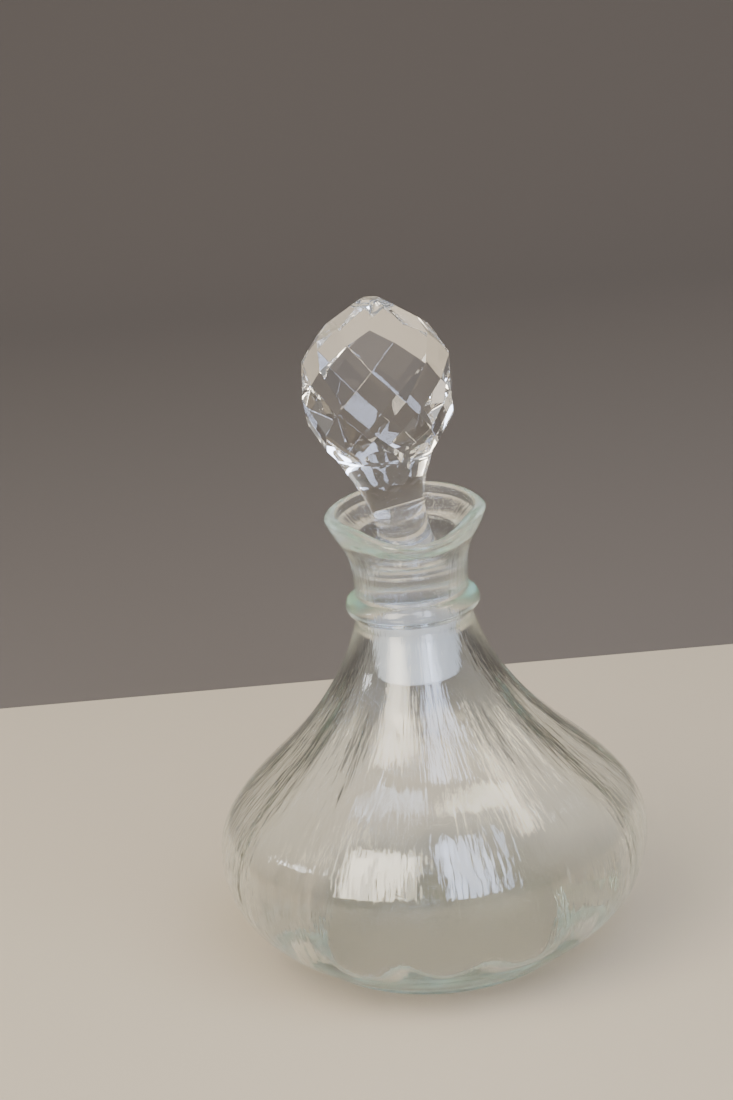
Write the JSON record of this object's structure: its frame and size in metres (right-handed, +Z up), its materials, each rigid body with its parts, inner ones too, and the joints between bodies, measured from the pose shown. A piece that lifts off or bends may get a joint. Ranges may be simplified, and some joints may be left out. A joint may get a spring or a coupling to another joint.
{
  "type": "wine decanter",
  "caption": "Squat round glass decanter with a flared pouring mouth, a bead on the neck and a ground-in cut-glass ball stopper that lifts out and turns.",
  "frame": {"origin": "centre of the base, on the surface that the decanter stands on", "axes": "+Z up along the neck and the ground joint, -Y towards the pour lip"},
  "size_m": [0.154, 0.154, 0.2416],
  "materials": {
    "bottle_glass": "blown soda-lime glass with a faint green tint",
    "ground_glass": "frosted, ground with fine grit",
    "cut_glass": "colourless, cut and polished"
  },
  "bodies": {
    "decanter": {"decanter_body": "bottle_glass"},
    "plug": {"stopper_plug": "ground_glass"},
    "finial": {"stopper_finial": "cut_glass"}
  },
  "joints": [
    {"name": "stopper_lift", "type": "slide", "parent": "decanter", "child": "plug", "axis": [0, 0, 1], "range_m": [0, 0.09]},
    {"name": "stopper_turn", "type": "hinge", "parent": "plug", "child": "finial", "pos_m": [0, 0, 0.145], "axis": [0, 0, 1], "continuous": true}
  ]
}
